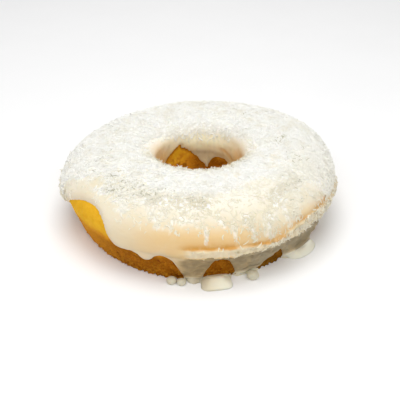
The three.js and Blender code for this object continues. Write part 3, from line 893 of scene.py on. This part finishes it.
def make_coconut(skin, cover_map):
    """A joined mesh for each kind of shred, from long strands to bits."""
    pieces = []
    for name, kind in COCONUT.items():
        count = kind["count"]
        places, normals, column, row = scatter(skin.points, count, cover_map ** kind["power"])
        cover = cover_map[column, row]
        angle = skin.angle[column, 0]
        along = skin.along[column, row]
        up_hole = skin.outline.total[column, 0] - along
        distance = from_axis(places)
        after = np.minimum(row + 1, skin.points.shape[1] - 1)
        down = unit(skin.points[column, after] - skin.points[column, row])
        steep = 1 - smoothstep(normals[:, 2], 0.5, 0.95)
        flow = down * mix(*FLOW, steep)[:, None]

        fringe = 0 * distance
        for at, spread, middle, width in FRINGES:
            fringe += near(at, angle, spread) * hump(distance, middle, width)
        fringe += hump(up_hole, NEAR_RIM, 4) * near(-90, angle, 65)
        sparse = 1 - smoothstep(cover, 0.35, 0.9)
        lengths = dice.uniform(*kind["length"], count)
        widths = dice.uniform(*kind["width"], count) * (1 + 0.3 * sparse)
        tilt = np.abs(dice.normal(0, 0.14, count) * (1 + 5.5 * fringe)) * (1 - 0.8 * sparse)
        lift = (dice.random(count) * 0.9 - 0.1) * cover + 0.5 * np.minimum(fringe, 1)

        # Shreds take the icing's tone on the lip, where they lie thinly, in the hole and in front.
        below = along < skin.outline.lip[column, 0] + 2
        glazed = np.where(below, 0.8, 0.8 * (1 - smoothstep(cover, 0.25, 0.6)))
        rear = smoothstep(np.sin(np.radians(angle)), 0, 0.6)
        in_hole = mix(1, 0.35, rear) * (1 - smoothstep(up_hole, NEAR_RIM - 4, NEAR_RIM + 8))
        mottled = smoothstep(rough(places, 8, 55, 4), -0.2, 0.7) * dice.uniform(0.3, 1, count)
        creamy = near(-78, angle, 55) * smoothstep(distance, 56, 76)
        glazed = np.max([glazed, in_hole, 0.5 * mottled, creamy], axis=0)
        # Dark shreds in loose patches are painted shade for the gaps between shreds.
        dark_share = kind["dark"] * looseness(places, angle)
        dark_share = dark_share * smoothstep(rough(places, 3.5, 53, 2), -0.05, 0.4)
        dark = (dice.random(count) < dark_share).astype(float)
        pieces.append(make_shreds(
            name, places, normals, flow, lengths, widths, tilt, lift,
            {"glazed": glazed, "dark": dark}, kind["segments"],
        ))
    return pieces


# ---- Materials ----
def colour(values):
    """A colour from its sRGB values, 0 to 255."""
    shares = [value / 255 for value in values]
    return *(((c + 0.055) / 1.055) ** 2.4 if c > 0.04 else c / 12.92 for c in shares), 1.0


class Nodes:
    """A short way to write a material's nodes."""

    def __init__(self, name):
        self.material = bpy.data.materials.new(name)
        self.material.use_nodes = True
        self.tree = self.material.node_tree
        self.shader = self.tree.nodes["Principled BSDF"]

    def add(self, kind, output=0, inputs=None, **settings):
        node = self.tree.nodes.new(kind)
        for key, value in settings.items():
            setattr(node, key, value)
        for key, value in (inputs or {}).items():
            self.set(node.inputs[key], value)
        return node.outputs[output]

    def set(self, socket, value):
        if isinstance(value, bpy.types.NodeSocket):
            self.tree.links.new(value, socket)
        else:
            socket.default_value = value

    def noise(self, size, detail=2.0, roughness=0.5):
        """Noise from 0 to 1 with features of this size in millimetres."""
        place = self.add("ShaderNodeTexCoord", "Object")
        inputs = {"Vector": place, "Scale": 1 / (size * MM), "Detail": detail, "Roughness": roughness}
        return self.add("ShaderNodeTexNoise", "Fac", inputs)

    def attribute(self, name):
        return self.add("ShaderNodeAttribute", "Fac", attribute_name=name)

    def ramp(self, value, low, high):
        """0 below low, 1 above high, smooth between."""
        inputs = {"Value": value, "From Min": low, "From Max": high}
        return self.add("ShaderNodeMapRange", "Result", inputs, interpolation_type="SMOOTHSTEP")

    def between(self, value, low, high):
        """A value from 0 to 1 turned into one from low to high."""
        inputs = {"Value": value, "To Min": low, "To Max": high}
        return self.add("ShaderNodeMapRange", "Result", inputs)

    def math(self, operation, a, b):
        return self.add("ShaderNodeMath", "Value", {0: a, 1: b}, operation=operation)

    def blend(self, share, a, b):
        """Colour a turning into colour b. Each is a socket, or sRGB values from 0 to 255."""
        a, b = (colour(c) if isinstance(c, tuple) else c for c in (a, b))
        factor, first, second, result = 0, 6, 7, 2
        inputs = {factor: share, first: a, second: b}
        return self.add("ShaderNodeMix", result, inputs, data_type="RGBA")

    def bump(self, height, depth):
        """A bump of this depth in millimetres."""
        inputs = {"Height": height, "Distance": depth * MM, "Strength": 1.0}
        return self.add("ShaderNodeBump", "Normal", inputs)

    def finish(self, **values):
        for key, value in values.items():
            self.set(self.shader.inputs[key.replace("_", " ")], value)
        return self.material


def sponge_material():
    n = Nodes("sponge")
    crumb = n.blend(n.noise(5, 4), (224, 160, 20), (246, 194, 56))
    edge = n.blend(n.noise(3, 4), (196, 118, 14), (226, 160, 44))
    crust = n.blend(n.noise(2.6, 5, 0.6), (102, 48, 0), (184, 112, 12))
    crust = n.blend(n.ramp(n.noise(7, 3), 0.5, 0.75), crust, (176, 104, 18))
    crust = n.blend(n.ramp(n.noise(1.3, 3), 0.56, 0.7), crust, (96, 46, 0))
    crust = n.blend(n.ramp(n.noise(1.4, 3), 0.56, 0.78), crust, (200, 134, 40))
    crumbly = n.math("MULTIPLY", n.attribute("foot"), n.ramp(n.noise(2.4, 4), 0.45, 0.6))
    crust = n.blend(crumbly, crust, (192, 132, 34))
    crust = n.blend(n.ramp(n.noise(4, 4), 0.62, 0.72), crust, (112, 44, 0))
    # The crust share also carries painted shade in the hole: the right patch and a dark rim along the
    # icing.
    share = n.attribute("crust")
    tone = n.blend(n.ramp(share, 0.0, 0.5), crumb, edge)
    tone = n.blend(n.ramp(share, 0.4, 1.0), tone, crust)
    tone = n.blend(n.ramp(n.attribute("pits"), 0.1, 0.9), tone, (112, 56, 0))
    # Painted shade, in a dark olive, on the crust under the lip at the right front.
    tone = n.blend(n.math("MULTIPLY", n.attribute("shade_under_lip"), 0.65), tone, (104, 70, 14))
    grain = n.math("ADD", n.noise(0.7, 3), n.noise(2.4, 2))
    return n.finish(
        Base_Color=tone, Roughness=n.ramp(n.noise(3), -0.9, 1.0), Normal=n.bump(grain, 0.6),
        Subsurface_Weight=0.15, Subsurface_Radius=(1.0, 0.5, 0.1), Subsurface_Scale=0.002,
        Specular_IOR_Level=0.05,
    )


def icing_material():
    n = Nodes("icing")
    cream = n.blend(n.noise(14, 3), (224, 210, 176), (234, 224, 200))
    gold = n.math("MULTIPLY", n.attribute("gold"), n.ramp(n.noise(8, 4), -0.35, 0.55))
    tone = n.blend(n.ramp(gold, 0.0, 0.5), cream, (230, 197, 142))
    tone = n.blend(n.ramp(gold, 0.5, 1.0), tone, (232, 178, 98))
    tone = n.blend(n.attribute("edge"), tone, (221, 204, 174))
    # Painted shade, partly thin icing over the sponge, in a tan or a grey.
    thin = n.math("MULTIPLY", n.attribute("thin"), n.ramp(n.noise(6, 3), -0.3, 0.6))
    shade = n.blend(n.attribute("grey"), (158, 138, 102), (155, 144, 119))
    tone = n.blend(thin, tone, shade)
    tone = n.blend(n.attribute("milky"), tone, (243, 239, 219))
    grains = n.ramp(n.noise(1.6, 3), 0.3, 0.7)
    powder = n.blend(grains, (244, 241, 230), (252, 251, 246))
    dusted = n.math("MULTIPLY", n.attribute("dust"), n.ramp(n.noise(2.0, 3), -0.1, 0.4))
    tone = n.blend(dusted, tone, powder)
    # Painted shade in the gaps between loosely lying coconut.
    gaps = n.math("MULTIPLY", n.attribute("gap_shade"), n.ramp(n.noise(1.4, 2), 0.3, 0.7))
    tone = n.blend(gaps, tone, (203, 198, 172))
    # Painted light, in a yellower cream, on the hole's back rim.
    tone = n.blend(n.math("MULTIPLY", n.attribute("painted_light_cream"), 0.8), tone, (250, 239, 200))
    lines = n.math("MULTIPLY", n.attribute("lines"), n.ramp(n.noise(5, 3), 0.15, 0.6))
    tone = n.blend(lines, tone, (208, 144, 24))
    shine = n.between(n.noise(5, 2), 0.38, 0.6)
    fine = n.math("ADD", n.noise(1.1, 2), n.noise(4.5, 2))
    return n.finish(
        Base_Color=tone, Roughness=shine, Normal=n.bump(fine, 0.1), Specular_IOR_Level=0.35,
        Subsurface_Weight=0.4, Subsurface_Radius=(1.0, 0.8, 0.5), Subsurface_Scale=0.0016,
    )


def coconut_material():
    n = Nodes("coconut")
    tone = n.blend(n.attribute("shade"), (248, 247, 241), (253, 253, 249))
    # Greyer specks, painted shade between the shreds.
    tone = n.blend(n.ramp(n.noise(0.8, 2), 0.6, 0.9), tone, (240, 236, 224))
    tone = n.blend(n.attribute("glazed"), tone, (230, 222, 197))
    # Painted shade: dark shreds in the gaps of loose patches.
    tone = n.blend(n.attribute("dark"), tone, (196, 193, 172))
    shine = n.between(n.noise(1.2), 0.45, 0.7)
    return n.finish(
        Base_Color=tone, Roughness=shine, Normal=n.bump(n.noise(0.35, 2), 0.06),
        Subsurface_Weight=0.08, Subsurface_Radius=(1.0, 1.0, 1.0), Subsurface_Scale=0.0003,
    )


def floor_material():
    n = Nodes("floor")
    tone = n.blend(n.noise(60, 2), (250, 250, 250), (253, 253, 253))
    return n.finish(Base_Color=tone, Roughness=0.6, Normal=n.bump(n.noise(2, 2), 0.01))


# ---- The cake ----
def dress(piece, material, slot, *nodes):
    piece.data.materials.append(material)
    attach(piece, "root")
    if nodes:
        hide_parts(*nodes)


icing_finish = icing_material()
dress(make_sponge(), sponge_material(), "sponge", "cake")
icing, skin, cover = make_icing()
dress(icing, icing_finish, "icing", "icing")
for i, drop in enumerate(DROPS, 1):
    dress(make_drop(f"drop_{i}", *drop, seed=i), icing_finish, "icing", f"icing_drop_{i}")
coconut_finish = coconut_material()
for piece in make_coconut(skin, cover):
    dress(piece, coconut_finish, "coconut")


# ---- The floor, the light and the camera ----
def make_floor():
    half = 1.5
    corners = np.array([(-half, -half, 0), (half, -half, 0), (half, half, 0), (-half, half, 0)]) / MM
    floor = make_object("floor", corners, np.array([(0, 1, 2, 3)]), smooth=False)
    floor.data.materials.append(floor_material())


def add_light(name, place, size, power):
    """A square white light that looks at the cake from this place, in metres."""
    data = bpy.data.lights.new(name, "AREA")
    data.size = size
    data.energy = power
    light = bpy.data.objects.new(name, data)
    light.location = place
    light.rotation_euler = (-Vector(place)).to_track_quat("-Z", "Y").to_euler()
    bpy.context.scene.collection.objects.link(light)


def set_sky(strength):
    world = bpy.data.worlds.new("sky")
    world.use_nodes = True
    background = world.node_tree.nodes["Background"]
    background.inputs["Color"].default_value = (1, 1, 1, 1)
    background.inputs["Strength"].default_value = strength
    bpy.context.scene.world = world


def add_camera():
    """A long lens, looking down at the front of the cake, as fitted to the photo."""
    distance, elevation, lens = 0.6, math.radians(33.24), 71.2
    data = bpy.data.cameras.new("camera")
    data.lens = lens
    data.clip_start = 0.01
    camera = bpy.data.objects.new("camera", data)
    foot = Vector((AXIS_X, AXIS_Y, 0)) * MM
    away = Vector((0, -math.cos(elevation), math.sin(elevation)))
    camera.location = foot + away * distance
    aim = foot + Vector((0.0004, 0, 0.0047))
    camera.rotation_euler = (aim - camera.location).to_track_quat("-Z", "Y").to_euler()
    bpy.context.scene.collection.objects.link(camera)
    bpy.context.scene.camera = camera


make_floor()
add_light("top", (0.0, 0.0, 1.2), 0.9, 7.1)
add_light("back", (0.0, 0.8, 0.9), 0.7, 1.4)
add_light("left", (-0.6, -0.5, 0.75), 0.6, 1.9)
add_light("right", (0.6, -0.5, 0.75), 0.6, 1.7)
add_light("front", (0.0, -0.75, 0.8), 0.6, 2.3)
set_sky(0.33)
add_camera()
bpy.context.scene.view_settings.view_transform = "Standard"
